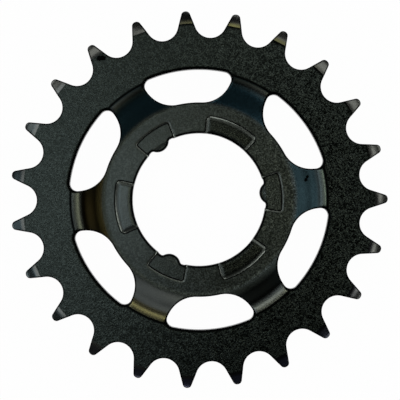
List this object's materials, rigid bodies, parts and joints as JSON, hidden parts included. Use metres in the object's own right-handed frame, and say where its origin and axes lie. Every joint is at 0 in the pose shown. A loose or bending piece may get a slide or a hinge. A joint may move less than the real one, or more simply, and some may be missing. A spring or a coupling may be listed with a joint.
{
  "type": "bicycle sprocket",
  "caption": "Dished steel bicycle sprocket: chain teeth round a flat rim, arms with rounded openings between them, and a lugged bore that fits the driver of a geared hub.",
  "frame": {"origin": "on the bore axis, in the plane of the three lug plates' backs, on which the sprocket lies", "axes": "+Z along the bore axis out of the dished front, +Y through one lug and the tooth beyond it"},
  "size_m": [0.0996, 0.0994, 0.0052],
  "materials": {
    "black_steel": "satin black coat, finely grained on the flat faces and burnished on the arms and tooth reliefs"
  },
  "bodies": {
    "root": {"sprocket": "black_steel"}
  },
  "joints": []
}
